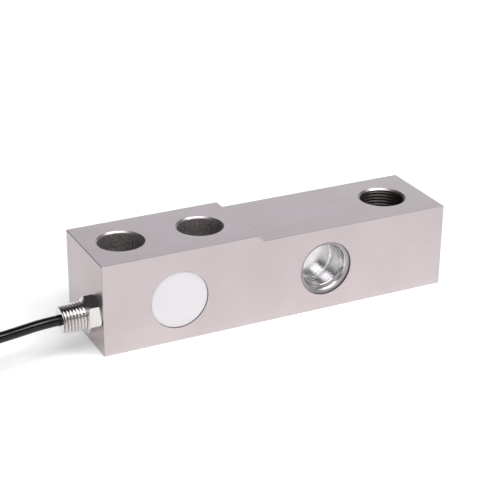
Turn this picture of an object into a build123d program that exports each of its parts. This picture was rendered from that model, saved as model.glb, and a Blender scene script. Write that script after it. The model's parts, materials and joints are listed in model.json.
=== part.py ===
from build123d import *
from math import radians, sqrt, tan
import os

# Cantilever beam load cell: a shear beam bolted down at its raised pad and loaded at its free end.
# Origin: centre of the beam's bottom face. +X runs to the load end, -Y is the side with the white
# cover, +Z is up. All sizes are in millimetres.

# Beam
beam_width = 43.0
beam_height = 40.1
pad_rise = 2.9
pad_end_distance = 18.5
ramp_angle = 45.0
ramp_fillet = 1.5
edge_break = 0.1

# Holes through the beam
bolt_radius = 10.25
bolt_end_distance = 17.2
bolt_spacing = 38.1
bolt_chamfer = 0.75
load_distance = 95.25
load_end_distance = 20.95
load_radius = 10.5
load_chamfer = 0.8

# Gauge pockets, one from each side, with a thin shear web left between them
gauge_distance = 53.6
gauge_z = 20.3
pocket_radius = 11.9
web_thickness = 7.0
seat_radius = 13.0
cup_recess = 0.85

# Drawn cup that closes each gauge pocket
cup_clearance = 0.1
cup_sheet = 0.6
cup_mouth_radius = 10.75
cup_step_radius = 10.4
cup_wall_radius = 10.05
cup_step_depth = 4.3
cup_step_length = 0.4
cup_depth = 12.9
cup_groove_radius = 8.95
cup_groove_width = 0.9
cup_groove_depth = 0.35
cup_mouth_fillet = 0.9
cup_corner_fillet = 0.4
cup_step_fillet = 0.25
cup_under_chamfer = 0.6

# Connection pocket under the white cover
cover_from_end = 36.0
cover_z = 19.9
cover_radius = 13.5
cover_clearance = 0.1
cover_recess = 0.65
cover_thickness = 1.4
connection_radius = 12.0
connection_depth = 10.0
label_radius = 13.3
label_thickness = 0.15

# Cable entry in the end face
gland_side_distance = 8.6
gland_z = 17.6
entry_radius = 5.05
entry_depth = 8.0
wire_channel_radius = 1.75
seal_seat_radius = 6.4
seal_seat_depth = 0.9
web_hole_radius = 1.25
web_hole_offset = 9.0

# Cable gland
gland_hex = 14.5
gland_hex_length = 6.0
gland_hex_turn = 13.0
gland_crown_angle = 30.0
gland_crown_step = 0.1
gland_thread_radius = 6.15
gland_thread_length = 10.6
gland_thread_chamfer = 0.3
gland_relief_radius = 5.3
gland_relief_length = 0.3
gland_spigot_radius = 5.0
gland_spigot_length = 7.0
gland_lip = 1.6
gland_chamber_radius = 4.0
gland_chamber_end = 1.2
washer_thickness = 1.0
cable_clearance = 0.1
part_clearance = 0.1

# Cable and its cores
cable_diameter = 4.8
core_diameter = 1.1
core_spread = 0.62
core_bend = 1.4
strand_gap = 0.05
bend_share = 0.45
lead_points = [
    (-102.35, -12.9, 17.6),
    (-109.5, -12.9, 17.6),
    (-121.0, -15.25, 17.5),
    (-133.75, -18.1, 17.75),
    (-141.75, -18.1, 17.75),
]

# Hank: the put-away length, wound in layers of three turns and tied on both sides
hank_near_x = -157.25
hank_y = 6.1
hank_run = 87.2
hank_fold_radius = 14.5
hank_columns = 3
hank_layers = 4
tie_thickness = 0.8
tie_clearance = 0.05
tie_width = 4.5
tie_place = 40.0
tie_head_length = 6.0
tie_head_width = 5.5
tie_head_height = 4.0
tail_jacket = 56.0
sleeve_length = 12.0
sleeve_taper = 0.3
tail_core_diameter = 1.3
tail_core_spread = 0.66
tail_core_length = 14.0
tail_tip_diameter = 0.85
tail_tip_length = 5.0
tail_shield_diameter = 1.0
tail_shield_rise = 1.62

# Parts in the connection pocket
board_radius = 9.4
board_thickness = 1.2
board_depth = 4.4
pillar_radius = 1.1
pillar_circle = 7.4
pillar_turn = 45.0
solder_radius = 0.8
solder_height = 0.4
solder_taper = 30.0
solder_pitch = 1.8
first_core_solder = -8.0
first_lead_solder = 2.5
resistor_length = 3.2
resistor_width = 1.6
resistor_height = 0.6
resistor_pitch = 2.6
resistor_rise = 3.6

# Strain gauges and their terminals, bonded to the web
gauge_side = 8.0
gauge_backing = 0.12
foil_height = 0.06
foil_width = 0.35
foil_pitch = 0.8
foil_lines = 5
terminal_length = 3.4
terminal_width = 2.2
terminal_height = 0.3
terminal_land_width = 1.6
terminal_land_length = 1.1
terminal_offset = 6.4
gauge_lead_diameter = 0.5
gauge_lead_pitch = 0.7
gauge_lead_count = 4
gauge_lead_bend = 0.7
gauge_lead_overshoot = 1.0

# Places worked out from the sizes above
beam_length = bolt_end_distance + bolt_spacing + load_distance + load_end_distance
pad_height = beam_height + pad_rise
end_x = -beam_length / 2
bolt_1_x = end_x + bolt_end_distance
bolt_2_x = bolt_1_x + bolt_spacing
load_x = bolt_2_x + load_distance
pad_end_x = bolt_2_x + pad_end_distance
ramp_end_x = pad_end_x + pad_rise / tan(radians(ramp_angle))
front_y = -beam_width / 2
rear_y = beam_width / 2
gauge_x = bolt_2_x + gauge_distance
cover_x = end_x + cover_from_end
gland_y = front_y + gland_side_distance
pocket_depth = (beam_width - web_thickness) / 2
seat_depth = cup_recess + cup_sheet
cable_radius = cable_diameter / 2

front_gauge_plane = Plane(origin=(gauge_x, front_y, gauge_z), x_dir=(1, 0, 0), z_dir=(0, -1, 0))
rear_gauge_plane = Plane(origin=(gauge_x, rear_y, gauge_z), x_dir=(-1, 0, 0), z_dir=(0, 1, 0))
cover_plane = Plane(origin=(cover_x, front_y, cover_z), x_dir=(1, 0, 0), z_dir=(0, -1, 0))
entry_plane = Plane(origin=(end_x, gland_y, gland_z), x_dir=(0, -1, 0), z_dir=(-1, 0, 0))
entry_axis = Axis((end_x, gland_y, gland_z), (-1, 0, 0))


def round_edges(part, radius):
    """The circular edges of a part that have the given radius."""
    circles = part.edges().filter_by(GeomType.CIRCLE)
    return circles.filter_by(lambda edge: abs(edge.radius - radius) < 1e-5)


def cut_round(plane, radius, depth):
    """Cut a round blind hole straight into the face that the plane lies on."""
    with BuildSketch(plane) as outline:
        Circle(radius)
    extrude(outline.sketch, amount=-depth, mode=Mode.SUBTRACT)


def disc_at_depth(plane, radius, depth, thickness):
    """A round disc whose outer face lies at a depth below the plane."""
    with BuildSketch(plane.offset(-depth)) as outline:
        Circle(radius)
    extrude(outline.sketch, amount=-thickness)


def round_wire(points, bend, radius):
    """A round wire swept along straight runs joined by arcs."""
    with BuildLine() as route:
        FilletPolyline(*points, radius=bend)
    with BuildSketch(Plane(origin=route.line @ 0, z_dir=route.line % 0)) as section:
        Circle(radius)
    sweep(section.sketch, path=route.line)


# Beam body: one machined block with the raised mounting pad
with BuildPart() as beam_body:
    with BuildSketch(Plane.XZ.offset(beam_width / 2)) as beam_side:
        with BuildLine():
            Polyline(
                (end_x, 0),
                (-end_x, 0),
                (-end_x, beam_height),
                (ramp_end_x, beam_height),
                (pad_end_x, pad_height),
                (end_x, pad_height),
                close=True,
            )
        make_face()
        ramp_foot = beam_side.vertices().sort_by_distance((ramp_end_x, front_y, beam_height))[0]
        fillet(ramp_foot, radius=ramp_fillet)
    extrude(amount=-beam_width)
    side_outlines = beam_body.faces().filter_by(Axis.Y).edges()
    outer_corners = beam_body.edges().filter_by(Axis.Y).filter_by(
        lambda edge: edge.center().Z < edge_break or abs(edge.center().X) > -end_x - edge_break
    )
    chamfer(side_outlines + outer_corners, length=edge_break)
    with Locations((bolt_1_x, 0, 0), (bolt_2_x, 0, 0)):
        Hole(radius=bolt_radius)
    chamfer(round_edges(beam_body, bolt_radius), length=bolt_chamfer)
    with Locations((load_x, 0, 0)):
        Hole(radius=load_radius)
    chamfer(round_edges(beam_body, load_radius), length=load_chamfer)
    for gauge_plane in (front_gauge_plane, rear_gauge_plane):
        cut_round(gauge_plane, seat_radius, seat_depth)
        cut_round(gauge_plane, pocket_radius, pocket_depth)
    cut_round(cover_plane, cover_radius + cover_clearance, cover_recess + cover_thickness)
    cut_round(cover_plane, connection_radius, connection_depth)
    cut_round(entry_plane, seal_seat_radius, seal_seat_depth)
    cut_round(entry_plane, entry_radius, entry_depth)
    cut_round(entry_plane, wire_channel_radius, gauge_x - end_x - pocket_radius / 2)
    with BuildSketch(Plane.XZ.offset(web_thickness / 2)):
        with Locations((gauge_x - web_hole_offset, gauge_z)):
            Circle(web_hole_radius)
    extrude(amount=-web_thickness, mode=Mode.SUBTRACT)
beam_body.part.label = "beam_body"


# Gauge cup: drawn from thin sheet, with a flat rim, a rounded mouth, a step and a grooved floor.
# Its section is drawn with radius across and height above the beam's side face.
with BuildPart() as front_gauge_cup:
    rim_radius = seat_radius - cup_clearance
    floor_under = cup_depth + cup_sheet
    groove_in = cup_groove_radius - cup_groove_width / 2
    groove_out = cup_groove_radius + cup_groove_width / 2
    groove_bottom = -cup_depth - cup_groove_depth
    step_end_depth = cup_step_depth + cup_step_length
    under_wall_radius = cup_wall_radius + cup_sheet
    with BuildSketch(Plane(origin=front_gauge_plane.origin, x_dir=(1, 0, 0), z_dir=(0, 0, -1))):
        with BuildLine():
            Line((0, -cup_depth), (groove_in, -cup_depth))
            ThreePointArc(
                (groove_in, -cup_depth), (cup_groove_radius, groove_bottom), (groove_out, -cup_depth)
            )
            FilletPolyline(
                (groove_out, -cup_depth),
                (cup_wall_radius, -cup_depth),
                (cup_wall_radius, -step_end_depth),
                (cup_step_radius, -cup_step_depth),
                (cup_mouth_radius, -cup_recess),
                (rim_radius, -cup_recess),
                radius=[cup_corner_fillet, cup_step_fillet, cup_step_fillet, cup_mouth_fillet],
            )
            Polyline(
                (rim_radius, -cup_recess),
                (rim_radius, -seat_depth),
                (cup_mouth_radius + cup_sheet, -seat_depth),
                (cup_step_radius + cup_sheet, -cup_step_depth),
                (under_wall_radius, -step_end_depth),
                (under_wall_radius, -floor_under + cup_under_chamfer),
                (under_wall_radius - cup_under_chamfer, -floor_under),
                (0, -floor_under),
                (0, -cup_depth),
            )
        make_face()
    revolve(axis=Axis(front_gauge_plane.origin, (0, 1, 0)))
front_gauge_cup.part.label = "front_gauge_cup"

with BuildPart() as rear_gauge_cup:
    add(front_gauge_cup.part)
    mirror(about=Plane.XZ, mode=Mode.REPLACE)
rear_gauge_cup.part.label = "rear_gauge_cup"


# Strain gauges: a film with two foil grids that cross at right angles, 45 degrees to the beam's axis
def strain_gauge(web_plane):
    with BuildSketch(web_plane) as film:
        Rectangle(gauge_side, gauge_side)
    extrude(film.sketch, amount=gauge_backing)
    grid_length = foil_pitch * foil_lines
    with BuildSketch(web_plane.offset(gauge_backing)) as foil:
        for turn in (45, -45):
            middle = gauge_side / 4 * (1 if turn > 0 else -1)
            with Locations(Location((middle, 0, 0), turn)):
                with GridLocations(0, foil_pitch, 1, foil_lines):
                    Rectangle(grid_length / 2, foil_width)
    extrude(foil.sketch, amount=foil_height)


front_web_plane = front_gauge_plane.offset(-pocket_depth)
rear_web_plane = rear_gauge_plane.offset(-pocket_depth)

with BuildPart() as front_strain_gauge:
    strain_gauge(front_web_plane)
front_strain_gauge.part.label = "front_strain_gauge"

with BuildPart() as rear_strain_gauge:
    strain_gauge(rear_web_plane)
rear_strain_gauge.part.label = "rear_strain_gauge"


# Solder terminals beside each gauge
def solder_terminals(web_plane, side):
    with BuildSketch(web_plane) as strip:
        with Locations((side * terminal_offset, 0)):
            Rectangle(terminal_width, terminal_length)
    extrude(strip.sketch, amount=terminal_height)
    with BuildSketch(web_plane.offset(terminal_height)) as lands:
        with Locations((side * terminal_offset, 0)):
            with GridLocations(0, terminal_length / 2, 1, 2):
                Rectangle(terminal_land_width, terminal_land_length)
    extrude(lands.sketch, amount=foil_height)


with BuildPart() as front_gauge_terminals:
    solder_terminals(front_web_plane, -1)
front_gauge_terminals.part.label = "front_gauge_terminals"

with BuildPart() as rear_gauge_terminals:
    solder_terminals(rear_web_plane, 1)
rear_gauge_terminals.part.label = "rear_gauge_terminals"


# Cover of the connection pocket, with a blank white label on it
with BuildPart() as connection_cover:
    disc_at_depth(cover_plane, cover_radius, cover_recess, cover_thickness)
connection_cover.part.label = "connection_cover"

with BuildPart() as cover_label:
    disc_at_depth(cover_plane, label_radius, cover_recess - label_thickness, label_thickness)
cover_label.part.label = "cover_label"


# Terminal board on three pillars, with solder joints and compensation resistors
core_solder_x = [cover_x + first_core_solder + solder_pitch * place for place in range(4)]
lead_solder_x = [
    cover_x + first_lead_solder + solder_pitch * place for place in range(gauge_lead_count)
]
core_rises = [core_spread, -core_spread, core_spread, -core_spread]
lead_rises = [gauge_lead_pitch * (place - (gauge_lead_count - 1) / 2) for place in range(gauge_lead_count)]
core_spots = [
    (x - cover_x, gland_z + rise - cover_z)
    for x, rise in zip(core_solder_x, core_rises)
]
lead_spots = [
    (x - cover_x, gland_z + rise - cover_z)
    for x, rise in zip(lead_solder_x, lead_rises)
]

with BuildPart() as terminal_board:
    disc_at_depth(cover_plane, board_radius, board_depth, board_thickness)
    with BuildSketch(cover_plane.offset(-board_depth)):
        with Locations(core_spots):
            Circle(core_diameter / 2 + part_clearance)
        with Locations(lead_spots):
            Circle(gauge_lead_diameter / 2 + part_clearance)
    extrude(amount=-board_thickness, mode=Mode.SUBTRACT)
terminal_board.part.label = "terminal_board"

with BuildPart() as solder_joints:
    with BuildSketch(cover_plane.offset(-board_depth)):
        with Locations(core_spots + lead_spots):
            Circle(solder_radius)
    extrude(amount=solder_height, taper=solder_taper)
solder_joints.part.label = "solder_joints"

with BuildPart() as board_pillars:
    with BuildSketch(cover_plane.offset(-connection_depth)):
        with PolarLocations(pillar_circle, 3, start_angle=pillar_turn):
            Circle(pillar_radius)
    extrude(amount=connection_depth - board_depth - board_thickness)
board_pillars.part.label = "board_pillars"

with BuildPart() as compensation_resistors:
    with BuildSketch(cover_plane.offset(-board_depth)):
        with Locations((0, resistor_rise)):
            with GridLocations(0, resistor_pitch, 1, 3):
                Rectangle(resistor_length, resistor_width)
    extrude(amount=resistor_height)
compensation_resistors.part.label = "compensation_resistors"


# Cable gland: hexagon against the end face, conduit thread outside and a spigot screwed into the beam
with BuildPart() as cable_gland:
    with BuildSketch(entry_plane):
        RegularPolygon(gland_hex / 2, 6, major_radius=False, rotation=-gland_hex_turn)
    extrude(amount=gland_hex_length)
    corner_radius = gland_hex / sqrt(3)
    crown_radius = gland_hex / 2 - gland_crown_step
    crown_height = (corner_radius - crown_radius) * tan(radians(gland_crown_angle))
    with BuildSketch(Plane(origin=entry_plane.origin, x_dir=(-1, 0, 0), z_dir=(0, -1, 0))):
        with BuildLine():
            Polyline(
                (0, 0),
                (0, crown_radius),
                (crown_height, corner_radius),
                (gland_hex_length - crown_height, corner_radius),
                (gland_hex_length, crown_radius),
                (gland_hex_length, 0),
                close=True,
            )
        make_face()
    revolve(axis=entry_axis, mode=Mode.INTERSECT)
    gland_tip = gland_hex_length + gland_thread_length
    with BuildSketch(Plane(origin=entry_plane.origin, x_dir=(-1, 0, 0), z_dir=(0, -1, 0))):
        with BuildLine():
            Polyline(
                (-gland_spigot_length, 0),
                (-gland_spigot_length, gland_spigot_radius),
                (0, gland_spigot_radius),
                (gland_hex_length, gland_relief_radius),
                (gland_hex_length + gland_relief_length, gland_relief_radius),
                (gland_hex_length + gland_relief_length, gland_thread_radius),
                (gland_tip - gland_thread_chamfer, gland_thread_radius),
                (gland_tip, gland_thread_radius - gland_thread_chamfer),
                (gland_tip, 0),
                close=True,
            )
        make_face()
    revolve(axis=entry_axis)
    with BuildSketch(entry_plane.offset(gland_tip)):
        Circle(cable_radius + cable_clearance)
    extrude(amount=-gland_tip - gland_spigot_length, mode=Mode.SUBTRACT)
    with BuildSketch(entry_plane.offset(gland_tip - gland_lip)):
        Circle(gland_chamber_radius)
    extrude(amount=-gland_tip + gland_lip - gland_spigot_length + gland_chamber_end, mode=Mode.SUBTRACT)
cable_gland.part.label = "cable_gland"

chamber_length = gland_tip - gland_lip + gland_spigot_length - gland_chamber_end


def chamber_ring(from_tip, length):
    """A ring round the cable inside the gland, placed from the gland's lip inwards."""
    with BuildSketch(entry_plane.offset(gland_tip - gland_lip - from_tip)) as ring:
        Circle(gland_chamber_radius - part_clearance)
        Circle(cable_radius + cable_clearance / 2, mode=Mode.SUBTRACT)
    extrude(ring.sketch, amount=-length)


with BuildPart() as gland_washer:
    chamber_ring(0, washer_thickness)
gland_washer.part.label = "gland_washer"

with BuildPart() as gland_grommet:
    chamber_ring(washer_thickness, chamber_length - washer_thickness)
gland_grommet.part.label = "gland_grommet"

with BuildPart() as gland_seal_ring:
    with BuildSketch(entry_plane):
        Circle(seal_seat_radius - part_clearance)
        Circle(gland_spigot_radius + part_clearance, mode=Mode.SUBTRACT)
    extrude(amount=-seal_seat_depth)
gland_seal_ring.part.label = "gland_seal_ring"


# Cable jacket inside the gland
with BuildPart() as cable_entry:
    with BuildSketch(entry_plane.offset(gland_tip)):
        Circle(cable_radius)
    extrude(amount=-gland_tip - gland_spigot_length)
cable_entry.part.label = "cable_entry"


# Cores from the jacket's end through the drilled channel, each up through its hole in the board
core_start_x = end_x + gland_spigot_length
board_top_y = front_y + board_depth


def core(place):
    """One core: along the channel and up to its solder joint, the two nearest the front first."""
    y = gland_y - core_spread if place < 2 else gland_y + core_spread
    z = gland_z + core_rises[place]
    x = core_solder_x[place]
    round_wire([(core_start_x, y, z), (x, y, z), (x, board_top_y, z)], core_bend, core_diameter / 2)


with BuildPart() as core_red:
    core(0)
core_red.part.label = "core_red"

with BuildPart() as core_black:
    core(1)
core_black.part.label = "core_black"

with BuildPart() as core_green:
    core(2)
core_green.part.label = "core_green"

with BuildPart() as core_white:
    core(3)
core_white.part.label = "core_white"


# Gauge leads: through the channel, down the gap beside the cup and over to the solder terminals
gap_radius = (cup_wall_radius + cup_sheet + pocket_radius) / 2
under_cup_y = front_y + (floor_under + pocket_depth) / 2
terminal_x = gauge_x - terminal_offset
terminal_over_web = web_thickness / 2 + terminal_height + foil_height + gauge_lead_diameter / 2
web_hole_reach = web_thickness / 2 + gauge_lead_overshoot


def lead_to_gap(place):
    """The first points of a gauge lead, from the board to the space under the front cup."""
    x = lead_solder_x[place]
    z = gland_z + lead_rises[place]
    gap_x = gauge_x - sqrt(gap_radius**2 - (z - gauge_z) ** 2)
    return [(x, board_top_y, z), (x, gland_y, z), (gap_x, gland_y, z), (gap_x, under_cup_y, z)]


with BuildPart() as front_gauge_leads:
    for place, side in ((0, -1), (1, 1)):
        end = (terminal_x, -terminal_over_web, gauge_z + side * terminal_length / 4)
        round_wire(lead_to_gap(place) + [end], gauge_lead_bend, gauge_lead_diameter / 2)
front_gauge_leads.part.label = "front_gauge_leads"

with BuildPart() as rear_gauge_leads:
    for place, side in ((2, -1), (3, 1)):
        hole_z = gauge_z + side * gauge_lead_pitch / 2
        through = [
            (gauge_x - web_hole_offset, -web_hole_reach, hole_z),
            (gauge_x - web_hole_offset, web_hole_reach, hole_z),
            (terminal_x, terminal_over_web, gauge_z + side * terminal_length / 4),
        ]
        round_wire(lead_to_gap(place) + through, gauge_lead_bend, gauge_lead_diameter / 2)
rear_gauge_leads.part.label = "rear_gauge_leads"


# Free cable: a lead of straight runs and arcs, then a tied hank, then the stripped end
def bend_radii(points):
    """Radius at each inner point: the arc takes up a share of the shorter run beside it."""
    radii = []
    for before, here, after in zip(points, points[1:], points[2:]):
        arriving = Vector(*here) - Vector(*before)
        leaving = Vector(*after) - Vector(*here)
        half_turn = radians(arriving.get_angle(leaving)) / 2
        radii.append(bend_share * min(arriving.length, leaving.length) / tan(half_turn))
    return radii


lead_radii = bend_radii(lead_points)
print("cable lead bends:", [round(radius, 1) for radius in lead_radii])

with BuildPart() as cable_lead:
    with BuildLine():
        lead_path = FilletPolyline(*lead_points, radius=lead_radii)
    with BuildSketch(Plane(origin=lead_path @ 0, z_dir=lead_path % 0)):
        Circle(cable_radius)
    sweep(path=lead_path)
cable_lead.part.label = "cable_lead"

strand_pitch = cable_diameter + strand_gap
outer_strand = hank_fold_radius + (hank_columns - 1) * strand_pitch
hank_outer = outer_strand + cable_radius
hank_inner = hank_fold_radius - cable_radius
hank_height = (hank_layers - 1) * strand_pitch + cable_diameter
hank_far_x = hank_near_x - hank_run
hank_middle_x = hank_near_x - hank_run / 2
lead_end_x = lead_points[-1][0]
top_strand_z = tie_thickness + hank_height - cable_radius
low_strand_z = tie_thickness + cable_radius
tail_y = hank_y + outer_strand
tail_x = hank_far_x + tail_jacket

with BuildPart() as cable_hank:
    with BuildSketch(Plane.XY.offset(tie_thickness)):
        with Locations((hank_middle_x, hank_y)):
            SlotCenterToCenter(hank_run, 2 * hank_outer)
            SlotCenterToCenter(hank_run, 2 * hank_inner, mode=Mode.SUBTRACT)
    extrude(amount=hank_height)
    fillet(cable_hank.faces().filter_by(Axis.Z).edges(), radius=cable_radius - strand_gap)
    with BuildSketch(Plane.XY):
        with Locations(((tail_x + hank_near_x) / 2, tail_y)):
            Rectangle(hank_near_x - tail_x, cable_diameter + 2 * strand_gap)
    extrude(amount=tie_thickness + strand_pitch, mode=Mode.SUBTRACT)
    with BuildSketch(Plane.YZ.offset(hank_near_x)):
        with Locations((hank_y - outer_strand, top_strand_z)):
            Circle(cable_radius)
    extrude(amount=lead_end_x - hank_near_x)
cable_hank.part.label = "cable_hank"

with BuildPart() as hank_ties:
    bundle_width = hank_outer - hank_inner
    tie_plane = Plane.YZ.offset(hank_near_x - tie_place)
    corner = cable_radius - strand_gap
    for side in (-1, 1):
        bundle_y = hank_y + side * (hank_outer + hank_inner) / 2
        with BuildSketch(tie_plane):
            with Locations((bundle_y, tie_thickness + hank_height / 2)):
                RectangleRounded(
                    bundle_width + 2 * tie_thickness,
                    hank_height + 2 * tie_thickness,
                    corner + tie_thickness,
                )
                RectangleRounded(
                    bundle_width + 2 * tie_clearance,
                    hank_height + 2 * tie_clearance,
                    corner + tie_clearance,
                    mode=Mode.SUBTRACT,
                )
        extrude(amount=tie_width / 2, both=True)
        with BuildSketch(Plane.XY.offset(2 * tie_thickness + hank_height)):
            with Locations((hank_near_x - tie_place, bundle_y)):
                Rectangle(tie_head_length, tie_head_width)
        extrude(amount=tie_head_height)
hank_ties.part.label = "hank_ties"

with BuildPart() as tail_sleeve:
    with BuildSketch(Plane.YZ.offset(tail_x)):
        with Locations((tail_y, low_strand_z)):
            Circle(cable_radius)
    with BuildSketch(Plane.YZ.offset(tail_x + sleeve_length)):
        with Locations((tail_y, low_strand_z)):
            Circle(cable_radius - sleeve_taper)
    loft()
tail_sleeve.part.label = "tail_sleeve"


def tail_wire(y, z, diameter, length):
    """A straight round wire that leaves the sleeve."""
    with BuildSketch(Plane.YZ.offset(tail_x + sleeve_length)) as section:
        with Locations((tail_y + y, low_strand_z + z)):
            Circle(diameter / 2)
    extrude(section.sketch, amount=length)


def tail_core(side, height):
    """An insulated core with its tinned tip."""
    y = side * tail_core_spread
    z = height * tail_core_spread
    tail_wire(y, z, tail_core_diameter, tail_core_length)
    tail_wire(y, z, tail_tip_diameter, tail_core_length + tail_tip_length)


with BuildPart() as tail_red:
    tail_core(-1, 1)
tail_red.part.label = "tail_red"

with BuildPart() as tail_black:
    tail_core(1, 1)
tail_black.part.label = "tail_black"

with BuildPart() as tail_green:
    tail_core(-1, -1)
tail_green.part.label = "tail_green"

with BuildPart() as tail_white:
    tail_core(1, -1)
tail_white.part.label = "tail_white"

with BuildPart() as tail_shield:
    tail_wire(0, tail_shield_rise, tail_shield_diameter, tail_core_length + tail_tip_length)
tail_shield.part.label = "tail_shield"


os.makedirs("parts", exist_ok=True)
export_step(beam_body.part, "parts/beam_body.step")
export_step(front_gauge_cup.part, "parts/front_gauge_cup.step")
export_step(rear_gauge_cup.part, "parts/rear_gauge_cup.step")
export_step(front_strain_gauge.part, "parts/front_strain_gauge.step")
export_step(rear_strain_gauge.part, "parts/rear_strain_gauge.step")
export_step(front_gauge_terminals.part, "parts/front_gauge_terminals.step")
export_step(rear_gauge_terminals.part, "parts/rear_gauge_terminals.step")
export_step(front_gauge_leads.part, "parts/front_gauge_leads.step")
export_step(rear_gauge_leads.part, "parts/rear_gauge_leads.step")
export_step(connection_cover.part, "parts/connection_cover.step")
export_step(cover_label.part, "parts/cover_label.step")
export_step(terminal_board.part, "parts/terminal_board.step")
export_step(solder_joints.part, "parts/solder_joints.step")
export_step(board_pillars.part, "parts/board_pillars.step")
export_step(compensation_resistors.part, "parts/compensation_resistors.step")
export_step(core_red.part, "parts/core_red.step")
export_step(core_black.part, "parts/core_black.step")
export_step(core_green.part, "parts/core_green.step")
export_step(core_white.part, "parts/core_white.step")
export_step(cable_gland.part, "parts/cable_gland.step")
export_step(gland_washer.part, "parts/gland_washer.step")
export_step(gland_grommet.part, "parts/gland_grommet.step")
export_step(gland_seal_ring.part, "parts/gland_seal_ring.step")
export_step(cable_entry.part, "parts/cable_entry.step")
export_step(cable_lead.part, "parts/cable_lead.step")
export_step(cable_hank.part, "parts/cable_hank.step")
export_step(hank_ties.part, "parts/hank_ties.step")
export_step(tail_sleeve.part, "parts/tail_sleeve.step")
export_step(tail_red.part, "parts/tail_red.step")
export_step(tail_black.part, "parts/tail_black.step")
export_step(tail_green.part, "parts/tail_green.step")
export_step(tail_white.part, "parts/tail_white.step")
export_step(tail_shield.part, "parts/tail_shield.step")
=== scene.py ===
import json
from math import cos, pi, radians, sin, tan

import bmesh
import bpy
from mathutils import Matrix, Vector

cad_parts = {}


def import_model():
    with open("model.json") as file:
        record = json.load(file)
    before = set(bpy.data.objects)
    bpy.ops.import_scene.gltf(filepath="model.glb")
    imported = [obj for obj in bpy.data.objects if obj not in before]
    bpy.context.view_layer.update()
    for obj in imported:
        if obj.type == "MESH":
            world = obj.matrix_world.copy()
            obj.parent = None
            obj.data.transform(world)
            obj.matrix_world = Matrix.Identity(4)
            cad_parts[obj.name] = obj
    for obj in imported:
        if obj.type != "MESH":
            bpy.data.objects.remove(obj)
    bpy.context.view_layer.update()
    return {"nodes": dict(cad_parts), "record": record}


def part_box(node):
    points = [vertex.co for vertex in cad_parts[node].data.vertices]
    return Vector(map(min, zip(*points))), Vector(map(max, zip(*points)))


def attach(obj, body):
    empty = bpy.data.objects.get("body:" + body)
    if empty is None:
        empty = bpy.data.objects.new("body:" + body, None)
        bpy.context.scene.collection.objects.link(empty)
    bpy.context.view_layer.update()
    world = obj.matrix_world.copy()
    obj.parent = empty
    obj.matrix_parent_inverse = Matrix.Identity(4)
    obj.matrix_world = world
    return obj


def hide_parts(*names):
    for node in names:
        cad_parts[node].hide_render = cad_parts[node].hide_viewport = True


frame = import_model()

MM = 0.001
MERGE_DISTANCE = 0.002 * MM
WHITE = (1.0, 1.0, 1.0)

# Factors that leave one axis out of a place
ACROSS_X = (0.0, 1.0, 1.0)
ACROSS_Y = (1.0, 0.0, 1.0)
ACROSS_Z = (1.0, 1.0, 0.0)

# The beam, its holes and its edges, in metres
BEAM_LOW, BEAM_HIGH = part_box("beam_body")
FRONT_Y = BEAM_LOW.y
REAR_Y = BEAM_HIGH.y
PAD_TOP = BEAM_HIGH.z
END_X = BEAM_LOW.x
PAD_END_X = END_X + 73.8 * MM
BOLT_XS = (END_X + 17.2 * MM, END_X + 55.3 * MM)
BOLT_RADIUS = 10.25 * MM
LOAD_X = END_X + 150.55 * MM
LOAD_RADIUS = 10.5 * MM
LOAD_CHAMFER = 0.8 * MM
LOAD_TOP = 40.1 * MM
LOAD_PITCH = 1.5 * MM
GAUGE_X = END_X + 108.9 * MM
GAUGE_Z = 20.3 * MM
COVER_X = END_X + 36.0 * MM
COVER_Z = 19.9 * MM

# Parts of the beam with a colour of their own, and parts with painted shade: the round seats and some edges.
# The margins let a colour reach past a wall or a chamfer
HOLE_MARGIN = 0.06 * MM
SEAT_MARGIN = 0.03 * MM
SIDE_MARGIN = 0.12 * MM
# Round seats in the side faces, painted dark as shade in the gap round the cup and the cover, as (x, z,
# radius, greatest y, colour): the cover's is at the front only
SHADED_SEATS = (
    (GAUGE_X, GAUGE_Z, 13.0 * MM, REAR_Y, (0.22, 0.196, 0.198)),
    (COVER_X, COVER_Z, 13.6 * MM, 0.0, (0.42, 0.374, 0.378)),
)
# Upper edges along Y, painted dark: painted shade at the pad's step and a painted dark reflection at the end
# face, as (x, reach in x, reach in z, colour)
SHADED_PAD_EDGES = (
    (PAD_END_X - 0.05 * MM, 0.07 * MM, 0.11 * MM, (0.34, 0.303, 0.307)),
    (END_X, 0.11 * MM, 0.32 * MM, (0.05, 0.045, 0.046)),
)

# The gland and the cable, in metres
GLAND_Y = FRONT_Y + 8.6 * MM
GLAND_Z = 17.6 * MM
HEX_FLATS = 14.5 * MM
HEX_LENGTH = 6.0 * MM
HEX_TURN = radians(13.0)
HEX_BACK_FACE = HEX_FLATS / 2 - 0.1 * MM
HEX_FRONT_FACE = HEX_FLATS / 2 - 0.8 * MM
CROWN_SLOPE = tan(radians(30))
THREAD_START = 6.0 * MM
THREAD_END = 16.6 * MM
THREAD_PITCH = 1.45 * MM
THREAD_CREST = 6.2 * MM
THREAD_ROOT = 5.35 * MM
THREAD_LEAD_IN = 0.6 * MM
THREAD_TAPER = 1 / 32
CORE_RADIUS = THREAD_ROOT - 0.2 * MM
# The flat tip stands clear of the thread's end, and its cone starts a little inside it
TIP_CLEARANCE = 0.02 * MM
TIP_DEPTH = 0.1 * MM
SPIGOT_RADIUS = 5.0 * MM
SPIGOT_LENGTH = 7.0 * MM
CABLE_RADIUS = 2.4 * MM
CABLE_HOLE = 2.5 * MM
CABLE_HOLE_FLARE = 0.35 * MM
CABLE_HOLE_FLARE_DEPTH = 0.25 * MM


# Helpers for meshes and objects

def add_object(name, data):
    """A new object in the scene."""
    obj = bpy.data.objects.new(name, data)
    bpy.context.scene.collection.objects.link(obj)
    return obj


def merge_close(mesh):
    """Join the vertices that lie on one another, and turn the faces outwards."""
    work = bmesh.new()
    work.from_mesh(mesh)
    bmesh.ops.remove_doubles(work, verts=work.verts, dist=MERGE_DISTANCE)
    bmesh.ops.recalc_face_normals(work, faces=work.faces)
    work.to_mesh(mesh)
    work.free()


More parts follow.
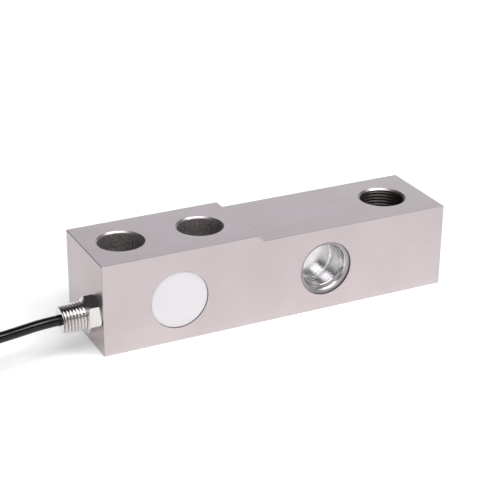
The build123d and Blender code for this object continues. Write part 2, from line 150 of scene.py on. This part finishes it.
def add_mesh(name, verts, faces, material, smooth_angle):
    """A new mesh object on the root body, smooth below the given edge angle in degrees."""
    mesh = bpy.data.meshes.new(name)
    mesh.from_pydata([tuple(v) for v in verts], [], faces)
    merge_close(mesh)
    mesh.polygons.foreach_set("use_smooth", [True] * len(mesh.polygons))
    mesh.set_sharp_from_angle(angle=radians(smooth_angle))
    mesh.materials.append(material)
    obj = add_object(name, mesh)
    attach(obj, "root")
    return obj


def ring_faces(rings, columns):
    """Faces that join a row of closed rings of vertices."""
    faces = []
    for first in range(0, (rings - 1) * columns, columns):
        for i in range(columns):
            after = (i + 1) % columns
            faces.append((first + i, first + after, first + columns + after, first + columns + i))
    return faces


def turned(point, section, columns):
    """A section of (distance, radius) turned round an axis; point also takes the angle."""
    verts = [
        point(distance, radius, 2 * pi * i / columns)
        for distance, radius in section
        for i in range(columns)
    ]
    return verts, ring_faces(len(section), columns)


def helical_ridges(point, start, end, pitch, profile, columns, limits):
    """Thread ridges as one ribbon that winds from start to end.

    The profile gives (share of a pitch, radius). point turns a distance, radius and angle into a place,
    and limits gives the least and the greatest radius at a distance.
    """
    across = profile + ((1.0, profile[0][1]),)
    verts = []
    steps = int(((end - start) / pitch + 2) * columns)
    for step in range(steps + 1):
        angle = 2 * pi * step / columns
        for share, radius in across:
            distance = start + pitch * (step / columns - 1 + share)
            distance = min(max(distance, start), end)
            least, greatest = limits(distance)
            verts.append(point(distance, min(max(radius, least), greatest), angle))
    width = len(across)
    faces = []
    for step in range(steps):
        for i in range(width - 1):
            here = step * width + i
            faces.append((here, here + 1, here + width + 1, here + width))
    return verts, faces


# Helpers for materials

class Nodes:
    """A node tree with short ways to add and join nodes."""

    def __init__(self, tree):
        self.tree = tree

    def node(self, kind, **settings):
        made = self.tree.nodes.new(kind)
        for key, value in settings.items():
            setattr(made, key, value)
        return made

    def feed(self, socket, value):
        """Link an output to a socket, or set a number or a colour on it."""
        if isinstance(value, bpy.types.NodeSocket):
            self.tree.links.new(value, socket)
        elif isinstance(value, tuple):
            socket.default_value = (*value, 1.0)
        else:
            socket.default_value = value

    def coordinates(self, kind):
        """Object coordinates for a material, or Generated ones for the world."""
        return self.node("ShaderNodeTexCoord").outputs[kind]

    def part(self, vector, axis):
        """The X, Y or Z of a vector."""
        made = self.node("ShaderNodeSeparateXYZ")
        self.feed(made.inputs[0], vector)
        return made.outputs[axis]

    def vector(self, operation, first, second=None):
        """Vector maths on an output and, where one is given, a fixed vector."""
        made = self.node("ShaderNodeVectorMath", operation=operation)
        self.feed(made.inputs[0], first)
        if second is not None:
            made.inputs[1].default_value = second
        return made.outputs["Value" if operation in ("LENGTH", "DOT_PRODUCT") else "Vector"]

    def math(self, operation, *values):
        made = self.node("ShaderNodeMath", operation=operation)
        for socket, value in zip(made.inputs, values):
            self.feed(socket, value)
        return made.outputs[0]

    def span(self, value, low, high, start=0.0, end=1.0, **settings):
        """A value mapped from the range start to end onto the range low to high."""
        made = self.node("ShaderNodeMapRange", **settings)
        made.inputs["From Min"].default_value = start
        made.inputs["From Max"].default_value = end
        made.inputs["To Min"].default_value = low
        made.inputs["To Max"].default_value = high
        self.feed(made.inputs["Value"], value)
        return made.outputs["Result"]

    def mix(self, kind, factor, first, second):
        made = self.node("ShaderNodeMix", data_type=kind)
        self.feed(made.inputs["Factor"], factor)
        self.feed(made.inputs["A"], first)
        self.feed(made.inputs["B"], second)
        return made.outputs["Result"]

    def mix_color(self, factor, first, second):
        return self.mix("RGBA", factor, first, second)

    def mix_value(self, factor, first, second):
        return self.mix("FLOAT", factor, first, second)

    def blend(self, value, start, end, first, second):
        """A colour that turns from the first into the second as the value goes from start to end."""
        return self.mix_color(self.span(value, 0.0, 1.0, start, end), first, second)


class Shader(Nodes):
    """The nodes of a Principled material, with a plain colour and roughness until other nodes feed them."""

    def __init__(self, name, color, roughness, metallic=0.0):
        self.material = bpy.data.materials.new(name)
        self.material.use_nodes = True
        super().__init__(self.material.node_tree)
        self.inputs = self.tree.nodes["Principled BSDF"].inputs
        self.color(color)
        self.roughness(roughness)
        self.inputs["Metallic"].default_value = metallic
        self.normal = None

    def color(self, value):
        self.feed(self.inputs["Base Color"], value)

    def roughness(self, value):
        self.feed(self.inputs["Roughness"], value)

    def bump(self, value, depth, strength):
        """Bump with a depth in metres, on top of the bumps before it."""
        made = self.node("ShaderNodeBump")
        made.inputs["Strength"].default_value = strength
        made.inputs["Distance"].default_value = depth
        self.feed(made.inputs["Height"], value)
        if self.normal is not None:
            self.feed(made.inputs["Normal"], self.normal)
        self.normal = made.outputs["Normal"]
        self.feed(self.inputs["Normal"], self.normal)

    def noise(self, scale, stretch=(1.0, 1.0, 1.0), detail=3.0, rough=0.55):
        """Noise with a scale in turns per metre."""
        made = self.node("ShaderNodeTexNoise")
        made.inputs["Scale"].default_value = scale
        made.inputs["Detail"].default_value = detail
        made.inputs["Roughness"].default_value = rough
        self.feed(made.inputs["Vector"], self.vector("MULTIPLY", self.coordinates("Object"), stretch))
        return made.outputs["Fac"]

    def distance(self, point, across):
        """The distance from a line through the point, along the axis that across leaves out."""
        offset = self.vector("SUBTRACT", self.coordinates("Object"), point)
        return self.vector("LENGTH", self.vector("MULTIPLY", offset, across))

    def within(self, point, across, radius):
        """1 within a radius of that line."""
        return self.math("LESS_THAN", self.distance(point, across), radius)

    def along(self, axis):
        """The place along X, Y or Z in the object's own coordinates."""
        return self.part(self.coordinates("Object"), axis)

    def strip(self, x, reach_x, z, reach_z):
        """1 in a strip along Y that reaches so far from x and z."""
        near = []
        for axis, middle, reach in (("X", x, reach_x), ("Z", z, reach_z)):
            offset = self.math("ABSOLUTE", self.math("SUBTRACT", self.along(axis), middle))
            near.append(self.math("LESS_THAN", offset, reach))
        return self.math("MULTIPLY", *near)


# Materials, with colours in linear RGB

def side_chamfers(shader):
    """1 on the small chamfers along the beam's two side faces."""
    geometry = shader.node("ShaderNodeNewGeometry")
    from_middle = shader.math("ABSOLUTE", shader.along("Y"))
    near_side = shader.math("GREATER_THAN", from_middle, REAR_Y - SIDE_MARGIN)
    facing_side = shader.math("ABSOLUTE", shader.part(geometry.outputs["True Normal"], "Y"))
    tilted = shader.math("LESS_THAN", facing_side, 0.9)
    return shader.math("MULTIPLY", near_side, tilted)


def beam_steel():
    """Satin nickel over ground steel, with dark unground walls in the bolt holes, and painted shade in the
    round seats and along some edges.
    """
    shader = Shader("beam_steel", (0.54, 0.48, 0.487), roughness=0.4, metallic=1.0)
    streaks = shader.noise(900.0, stretch=(0.06, 1.0, 1.0), detail=4.0)
    grain = shader.noise(5200.0, detail=2.0)
    speck = shader.noise(1400.0, detail=4.0, rough=0.7)
    wall = shader.blend(speck, 0.35, 0.7, (0.19, 0.17, 0.168), (0.70, 0.64, 0.635))
    color = shader.blend(shader.noise(35.0), 0.3, 0.7, (0.515, 0.460, 0.462), (0.563, 0.499, 0.510))
    roughness = shader.span(streaks, 0.34, 0.46)
    for x in BOLT_XS:
        inside = shader.within((x, 0.0, 0.0), ACROSS_Z, BOLT_RADIUS + HOLE_MARGIN)
        color = shader.mix_color(inside, color, wall)
        roughness = shader.mix_value(inside, roughness, 0.6)
    # Painted shade: the round seats are darkened as shadow in the gap round the cup and the cover.
    for x, z, radius, greatest_y, painted_shade in SHADED_SEATS:
        near = shader.within((x, 0.0, z), ACROSS_Y, radius + SEAT_MARGIN)
        on_side = shader.math("LESS_THAN", shader.along("Y"), greatest_y)
        color = shader.mix_color(shader.math("MULTIPLY", near, on_side), color, painted_shade)
    # Painted shade: the side chamfers and the pad's step edge are painted darker to damp their highlights.
    # The end face's top edge is painted near black as a dark reflection. All of them are also rougher.
    edges = [(side_chamfers(shader), (0.46, 0.41, 0.415))]
    for x, reach_x, reach_z, painted_shade in SHADED_PAD_EDGES:
        edges.append((shader.strip(x, reach_x, PAD_TOP, reach_z), painted_shade))
    for edge, painted_shade in edges:
        color = shader.mix_color(edge, color, painted_shade)
        roughness = shader.mix_value(edge, roughness, 0.9)
    shader.color(color)
    shader.roughness(roughness)
    shader.bump(grain, 0.006 * MM, 0.6)
    shader.bump(streaks, 0.004 * MM, 0.5)
    return shader.material


def cup_steel():
    """Bright drawn sheet: a mirror-like floor, faint rings on the wall, and a duller rim with painted shade
    towards its outer edge.
    """
    bright_radius = 11.1 * MM
    rim_shade_radii = (11.2 * MM, 12.7 * MM)
    shader = Shader("cup_steel", (0.80, 0.79, 0.80), roughness=0.12, metallic=1.0)
    distance = shader.distance((GAUGE_X, 0.0, GAUGE_Z), ACROSS_Y)
    inside = shader.math("LESS_THAN", distance, bright_radius)
    rings = shader.node("ShaderNodeTexNoise", noise_dimensions="1D")
    rings.inputs["Scale"].default_value = 4000.0
    rings.inputs["Detail"].default_value = 2.0
    shader.feed(rings.inputs["W"], distance)
    bright = shader.blend(shader.noise(260.0), 0.3, 0.7, (0.66, 0.65, 0.66), (0.74, 0.73, 0.74))
    # The rim is a duller satin of its own, painted darker towards its outer edge as shade in the gap round
    # it.
    rim = shader.blend(distance, *rim_shade_radii, (0.48, 0.45, 0.455), (0.26, 0.24, 0.245))
    shader.color(shader.mix_color(inside, rim, bright))
    drawn = shader.span(rings.outputs["Fac"], 0.16, 0.27, 0.35, 0.65)
    shader.roughness(shader.mix_value(inside, 0.42, drawn))
    return shader.material


def label_white():
    """Blank matte label."""
    shader = Shader("label_white", (0.70, 0.672, 0.70), roughness=0.45)
    shader.bump(shader.noise(2500.0, detail=2.0), 0.004 * MM, 0.5)
    shader.color(shader.blend(shader.noise(60.0), 0.35, 0.65, (0.685, 0.658, 0.685), (0.715, 0.687, 0.715)))
    return shader.material


def cover_steel():
    """Turned steel disc under the label."""
    shader = Shader("cover_steel", (0.70, 0.68, 0.69), roughness=0.35, metallic=1.0)
    shader.bump(shader.noise(3000.0), 0.004 * MM, 0.4)
    shader.roughness(shader.span(shader.noise(500.0), 0.28, 0.42))
    return shader.material


def gland_nickel():
    """Polished nickel plate."""
    shader = Shader("gland_nickel", (0.68, 0.65, 0.645), roughness=0.16, metallic=1.0)
    cloud = shader.noise(420.0)
    shader.color(shader.blend(cloud, 0.3, 0.7, (0.64, 0.612, 0.605), (0.71, 0.68, 0.672)))
    shader.roughness(shader.span(cloud, 0.12, 0.24))
    shader.bump(shader.noise(2600.0), 0.004 * MM, 0.35)
    return shader.material


def thread_nickel():
    """The same plate on the conduit thread, with painted shade that darkens it down in its grooves."""
    dark_radius = THREAD_ROOT + 0.1 * MM
    light_radius = THREAD_CREST - 0.2 * MM
    shader = Shader("thread_nickel", (0.66, 0.63, 0.625), roughness=0.16, metallic=1.0)
    distance = shader.distance((0.0, GLAND_Y, GLAND_Z), ACROSS_X)
    # Painted shade: the colour darkens from the crests down to the roots.
    shader.color(shader.blend(distance, dark_radius, light_radius, (0.42, 0.395, 0.39), (0.70, 0.67, 0.665)))
    shader.roughness(shader.span(shader.noise(420.0), 0.14, 0.26))
    return shader.material


def thread_steel():
    """Cut thread, oiled and darker than the plated faces."""
    shader = Shader("thread_steel", (0.08, 0.068, 0.066), roughness=0.5, metallic=1.0)
    shader.color(shader.blend(shader.noise(600.0), 0.3, 0.7, (0.05, 0.042, 0.04), (0.11, 0.095, 0.09)))
    return shader.material


def cable_black():
    """Glossy black jacket with a faint unevenness."""
    shader = Shader("cable_black", (0.003, 0.003, 0.005), roughness=0.13)
    shader.inputs["Specular IOR Level"].default_value = 0.3
    shader.roughness(shader.span(shader.noise(300.0), 0.10, 0.17))
    shader.bump(shader.noise(700.0), 0.012 * MM, 0.5)
    return shader.material


def moulded(name, color, roughness):
    """A plain plastic or rubber with a fine moulded grain."""
    shader = Shader(name, color, roughness)
    shader.bump(shader.noise(3500.0, detail=2.0), 0.01 * MM, 0.5)
    shader.roughness(shader.span(shader.noise(500.0), roughness * 0.85, min(1.0, roughness * 1.15)))
    return shader.material


def metal(name, color, roughness):
    """A plain small metal piece."""
    shader = Shader(name, color, roughness, metallic=1.0)
    shader.roughness(shader.span(shader.noise(900.0), roughness * 0.8, roughness * 1.2))
    shader.bump(shader.noise(3000.0), 0.003 * MM, 0.4)
    return shader.material


MATERIALS = {
    "beam_steel": beam_steel(),
    "cup_steel": cup_steel(),
    "cover_steel": cover_steel(),
    "label_white": label_white(),
    "gland_nickel": gland_nickel(),
    "cable_black": cable_black(),
}
# Plain materials as (slot, colour, roughness)
MOULDED = (
    ("seal_rubber", (0.02, 0.02, 0.02), 0.7),
    ("tie_white", (0.62, 0.62, 0.58), 0.4),
    ("sleeve_black", (0.02, 0.02, 0.02), 0.5),
    ("core_red", (0.42, 0.015, 0.012), 0.32),
    ("core_black", (0.015, 0.015, 0.015), 0.32),
    ("core_green", (0.012, 0.20, 0.05), 0.32),
    ("core_white", (0.76, 0.76, 0.73), 0.32),
    ("board_green", (0.02, 0.14, 0.05), 0.35),
    ("pillar_plastic", (0.72, 0.70, 0.64), 0.5),
    ("resistor_black", (0.02, 0.02, 0.02), 0.4),
    ("gauge_film", (0.46, 0.18, 0.03), 0.3),
)
METALS = (
    ("shield_copper", (0.66, 0.63, 0.58), 0.3),
    ("lead_enamel", (0.55, 0.22, 0.06), 0.3),
    ("solder_tin", (0.66, 0.66, 0.67), 0.22),
    ("terminal_copper", (0.62, 0.33, 0.14), 0.3),
)
for make, looks in ((moulded, MOULDED), (metal, METALS)):
    for slot, color, roughness in looks:
        MATERIALS[slot] = make(slot, color, roughness)

for subpart in frame["record"]["subparts"]:
    node_materials = frame["nodes"][subpart["node"]].data.materials
    node_materials.clear()
    node_materials.append(MATERIALS[subpart["material_slot"]])


# Gland: hexagon, conduit thread and flat tip, in place of the plain solid

def gland_point(distance, radius, angle):
    """A point on the gland: distance out from the end face, angle from -Y towards +Z."""
    return Vector((END_X - distance, GLAND_Y - radius * cos(angle), GLAND_Z + radius * sin(angle)))


def hexagon(material):
    """The hexagon, with both ends chamfered by a cone."""
    columns = 96
    rings = [[] for _ in range(6)]
    for i in range(columns):
        turn = 2 * pi * i / columns
        from_flat = (turn + pi / 6) % (pi / 3) - pi / 6
        radius = HEX_FLATS / 2 / cos(from_flat)
        back_crown = (radius - HEX_BACK_FACE) * CROWN_SLOPE
        front_crown = (radius - HEX_FRONT_FACE) * CROWN_SLOPE
        section = (
            (0.0, CORE_RADIUS),
            (0.0, HEX_BACK_FACE),
            (back_crown, radius),
            (HEX_LENGTH - front_crown, radius),
            (HEX_LENGTH, HEX_FRONT_FACE),
            (HEX_LENGTH, CORE_RADIUS),
        )
        for ring, (distance, ring_radius) in zip(rings, section):
            ring.append(gland_point(distance, ring_radius, turn + HEX_TURN))
    verts = [vertex for ring in rings for vertex in ring]
    return add_mesh("gland_hexagon", verts, ring_faces(len(rings), columns), material, smooth_angle=20.0)


def conduit_thread(material):
    """The helical thread outside the gland, which grows towards the hexagon."""
    profile = ((0.0, THREAD_ROOT), (0.10, THREAD_ROOT), (0.45, THREAD_CREST), (0.65, THREAD_CREST))

    def tapered_point(distance, radius, angle):
        return gland_point(distance, radius + (THREAD_END - distance) * THREAD_TAPER, angle)

    def limits(distance):
        lead_in = max(0.0, distance - (THREAD_END - THREAD_LEAD_IN))
        return THREAD_ROOT, THREAD_CREST - lead_in

    verts, faces = helical_ridges(
        tapered_point, THREAD_START, THREAD_END, THREAD_PITCH, profile, columns=72, limits=limits
    )
    return add_mesh("gland_thread", verts, faces, material, smooth_angle=28.0)


def gland_core(material):
    """The gland's flat tip with the cable's hole, and the spigot that is screwed into the beam."""
    tip = THREAD_END + TIP_CLEARANCE
    section = (
        (THREAD_END - TIP_DEPTH, THREAD_ROOT),
        (tip, THREAD_CREST - THREAD_LEAD_IN),
        (tip, CABLE_HOLE + CABLE_HOLE_FLARE),
        (THREAD_END - CABLE_HOLE_FLARE_DEPTH, CABLE_HOLE),
        (-SPIGOT_LENGTH, CABLE_HOLE),
        (-SPIGOT_LENGTH, SPIGOT_RADIUS),
        (0.0, SPIGOT_RADIUS),
        (0.0, CORE_RADIUS),
    )
    verts, faces = turned(gland_point, section, columns=72)
    return add_mesh("gland_core", verts, faces, material, smooth_angle=35.0)


gland_pieces = [
    hexagon(MATERIALS["gland_nickel"]),
    conduit_thread(thread_nickel()),
    gland_core(MATERIALS["gland_nickel"]),
]
for piece in gland_pieces:
    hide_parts("cable_gland")


# Gauge cups: the CAD's drawn cup with a finer surface and a softly rolled mouth

# Corners of the cup's section as (radius, depth below the side face, length rounded off), in mm
CUP_SECTION = (
    (8.50, 12.90, 0.15),
    (8.95, 13.25, 0.20),
    (9.40, 12.90, 0.20),
    (10.05, 12.90, 0.40),
    (10.05, 4.70, 0.25),
    (10.40, 4.30, 0.25),
    (10.75, 1.90, 1.10),
    (12.20, 0.95, 0.45),
)
CUP_FLOOR_MIDDLE = 12.75
# Sharp corners of the sheet's other side as (radius, depth), in mm, from the rim to the floor's middle
CUP_BACK = (
    (12.90, 0.85),
    (12.90, 1.45),
    (11.90, 1.45),
    (11.45, 2.30),
    (11.00, 4.30),
    (10.65, 4.70),
    (10.65, 12.90),
    (10.05, 13.50),
    (0.0, 13.50),
)


def rounded_corner(before, corner, after, length):
    """Points of a small curve that cuts a corner off at a length to each side."""
    corner = Vector(corner)
    start = corner + (Vector(before) - corner).normalized() * length
    end = corner + (Vector(after) - corner).normalized() * length
    steps = 6
    return [
        start * (1 - t) ** 2 + corner * 2 * t * (1 - t) + end * t**2
        for t in (i / steps for i in range(steps + 1))
    ]


def cup_outline():
    """The section from the middle of the floor over the mouth and back underneath."""
    corners = [(0.0, CUP_FLOOR_MIDDLE)] + [corner[:2] for corner in CUP_SECTION] + [CUP_BACK[0]]
    points = [Vector(corners[0])]
    for i, (_, _, length) in enumerate(CUP_SECTION):
        points += rounded_corner(corners[i], corners[i + 1], corners[i + 2], length)
    return points + [Vector(point) for point in CUP_BACK]


def gauge_cup(name, side, material):
    """One cup, turned round its axis; side is -1 at the front and 1 at the rear."""
    def cup_point(depth, radius, angle):
        return (
            GAUGE_X + radius * MM * cos(angle),
            side * (REAR_Y - depth * MM),
            GAUGE_Z + radius * MM * sin(angle),
        )

    section = [(depth, radius) for radius, depth in cup_outline()]
    verts, faces = turned(cup_point, section, columns=128)
    return add_mesh(name, verts, faces, material, smooth_angle=40.0)


for node, side in (("front_gauge_cup", -1), ("rear_gauge_cup", 1)):
    cup = gauge_cup(node + "_drawn", side, MATERIALS["cup_steel"])
    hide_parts(node)


# Thread in the load hole: a thin lining with helical ridges

def load_thread(material):
    """Ridges that stand in from the bored wall, between the two chamfers."""
    low = LOAD_CHAMFER
    high = LOAD_TOP - LOAD_CHAMFER
    wall = LOAD_RADIUS - 0.01 * MM
    crest = LOAD_RADIUS - 0.4 * MM
    profile = ((0.0, wall), (0.12, wall), (0.46, crest), (0.66, crest))

    def point(z, radius, angle):
        return Vector((LOAD_X + radius * cos(angle), radius * sin(angle), z))

    def limits(z):
        return max(crest, wall - min(z - low, high - z)), wall

    verts, faces = helical_ridges(point, low, high, LOAD_PITCH, profile, columns=96, limits=limits)
    return add_mesh("load_thread", verts, faces, material, smooth_angle=28.0)


thread_piece = load_thread(thread_steel())


# Cable: one spline from the gland through the hank to the sleeve. Its places and sizes are in mm

LEAD_POINTS = (
    (-102.35, -12.9, 17.6),
    (-109.5, -12.9, 17.6),
    (-121.0, -15.25, 17.5),
    (-133.75, -18.1, 17.75),
    (-141.75, -18.1, 17.75),
)
HANK_NEAR_X = -157.25
HANK_RUN = 87.2
HANK_FAR_X = HANK_NEAR_X - HANK_RUN
HANK_Y = 6.1
HANK_FOLD_RADIUS = 14.5
HANK_COLUMNS = 3
HANK_LAYERS = 4
STRAND_PITCH = 4.85
LOW_STRAND_Z = 3.2
TAIL_JACKET = 56.0
FOLD_POINTS = 6
FOLD_STEP = pi / FOLD_POINTS
# A quadratic spline runs inside its control points, by this share on a twelve-sided turn
CONTROL_SHARE = 0.966


def fold(start_y, end_y, start_z, end_z, centre_x, direction):
    """Control points of a half turn; direction 1 bulges to +X and -1 to -X."""
    middle = (start_y + end_y) / 2
    radius = (start_y - end_y) / 2 / CONTROL_SHARE
    points = []
    for i in range(FOLD_POINTS):
        turn = FOLD_STEP * (i + 0.5)
        share = (i + 0.5) / FOLD_POINTS
        x = centre_x + direction * abs(radius) * sin(turn)
        points.append((x, middle + radius * cos(turn), start_z + (end_z - start_z) * share))
    return points


def hank_points():
    """Turns of the hank: inwards on the top layer, outwards on the next, and so on down."""
    offsets = [HANK_FOLD_RADIUS + STRAND_PITCH * (HANK_COLUMNS - 1 - i) for i in range(HANK_COLUMNS)]
    turns = []
    for layer in range(HANK_LAYERS):
        z = LOW_STRAND_Z + STRAND_PITCH * (HANK_LAYERS - 1 - layer)
        order = offsets if layer % 2 == 0 else offsets[::-1]
        turns += [(offset, z) for offset in order]
    points = []
    for i, (offset, z) in enumerate(turns):
        front, back = HANK_Y - offset, HANK_Y + offset
        points += [(HANK_NEAR_X, front, z), (HANK_FAR_X, front, z)]
        points += fold(front, back, z, z, HANK_FAR_X, -1)
        if i + 1 < len(turns):
            next_offset, next_z = turns[i + 1]
            points += [(HANK_FAR_X, back, z), (HANK_NEAR_X, back, z)]
            points += fold(back, HANK_Y - next_offset, z, next_z, HANK_NEAR_X, 1)
        else:
            points += [(HANK_FAR_X, back, z), (HANK_FAR_X + TAIL_JACKET, back, z)]
    return points


def cable():
    """The whole jacketed cable as one tube."""
    curve = bpy.data.curves.new("cable", "CURVE")
    curve.dimensions = "3D"
    route = list(LEAD_POINTS) + hank_points()
    spline = curve.splines.new("NURBS")
    spline.points.add(len(route) - 1)
    for point, (x, y, z) in zip(spline.points, route):
        point.co = (x * MM, y * MM, z * MM, 1.0)
    spline.order_u = 3
    spline.use_endpoint_u = True
    spline.resolution_u = 8
    curve.bevel_depth = CABLE_RADIUS
    curve.bevel_resolution = 5
    curve.use_fill_caps = True
    curve.materials.append(MATERIALS["cable_black"])
    obj = add_object("cable", curve)
    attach(obj, "root")
    return obj


cable_piece = cable()
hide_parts("cable_lead", "cable_hank")
[value * MM for value in LEAD_POINTS[0]]


# Floor, camera and lights

def floor():
    """A wide white floor, lit from below as a light table is, and more so where the lamps don't reach."""
    reach = 6.0
    near_glow, far_glow = 0.35, 0.85
    glow_rises = (0.8, 1.6)
    corners = [(-reach, -reach, 0), (reach, -reach, 0), (reach, reach, 0), (-reach, reach, 0)]
    mesh = bpy.data.meshes.new("floor")
    mesh.from_pydata(corners, [], [(0, 1, 2, 3)])
    shader = Shader("floor_white", (0.93, 0.93, 0.93), roughness=0.7)
    distance = shader.distance((0.0, 0.0, 0.0), ACROSS_Z)
    shader.feed(shader.inputs["Emission Color"], WHITE)
    shader.feed(shader.inputs["Emission Strength"], shader.span(distance, near_glow, far_glow, *glow_rises))
    mesh.materials.append(shader.material)
    add_object("floor", mesh)


def camera():
    """The photograph's camera."""
    place = (-0.281794, -0.548001, 0.310365)
    azimuth, elevation, roll = radians(-26.8), radians(24.844), radians(0.674)
    data = bpy.data.cameras.new("camera")
    data.sensor_width = 36.0
    data.lens = 105.99
    swing = Matrix.Rotation(azimuth, 4, "Z")
    tilt = Matrix.Rotation(pi / 2 - elevation, 4, "X")
    turn = swing @ tilt @ Matrix.Rotation(roll, 4, "Z")
    obj = add_object("camera", data)
    obj.matrix_world = Matrix.Translation(place) @ turn
    bpy.context.scene.camera = obj


def softbox(name, place, target, width, height, power, color):
    """A soft area light aimed at a point."""
    data = bpy.data.lights.new(name, "AREA")
    data.shape = "RECTANGLE"
    data.size = width
    data.size_y = height
    data.energy = power
    data.color = color
    obj = add_object(name, data)
    obj.location = place
    obj.rotation_mode = "QUATERNION"
    obj.rotation_quaternion = (Vector(target) - Vector(place)).to_track_quat("-Z", "Y")


def world():
    """Bright surroundings up to the horizon under a dark ceiling, which hangs lower at the back left."""
    ceiling = (0.035, 0.035, 0.04)
    ceiling_heights = (0.10, 0.40)
    back_left = (-0.5, 0.86, 0.0)
    drop = 0.35
    drop_cosines = (0.62, 0.88)
    made = bpy.data.worlds.new("studio")
    made.use_nodes = True
    nodes = Nodes(made.node_tree)
    direction = nodes.coordinates("Generated")
    facing = nodes.vector("DOT_PRODUCT", direction, back_left)
    lower = nodes.span(facing, 0.0, drop, *drop_cosines, interpolation_type="SMOOTHSTEP")
    height = nodes.math("ADD", nodes.part(direction, "Z"), lower)
    fade = nodes.span(height, 0.0, 1.0, *ceiling_heights, interpolation_type="SMOOTHSTEP")
    nodes.feed(nodes.tree.nodes["Background"].inputs["Color"], nodes.mix_color(fade, WHITE, ceiling))
    bpy.context.scene.world = made


# Lamps as (name, place, target, width, height, power, colour)
LAMPS = (
    ("top_light", (0.0, -1.1, 2.55), (0.0, 0.0, 0.0), 3.0, 2.0, 58.0, WHITE),
    ("key_light", (0.62, -0.68, 1.2), (-0.09, 0.0, 0.02), 0.32, 0.32, 3.4, WHITE),
    ("front_light", (-0.14, -1.13, 0.79), (0.0, 0.0, 0.02), 0.75, 0.38, 2.5, WHITE),
    ("back_light", (0.615, 1.215, 0.63), (0.0, 0.0, 0.03), 1.3, 0.9, 3.75, (0.925, 0.955, 1.0)),
)

floor()
camera()
world()
for lamp in LAMPS:
    softbox(*lamp)
bpy.context.scene.view_settings.view_transform = "Standard"
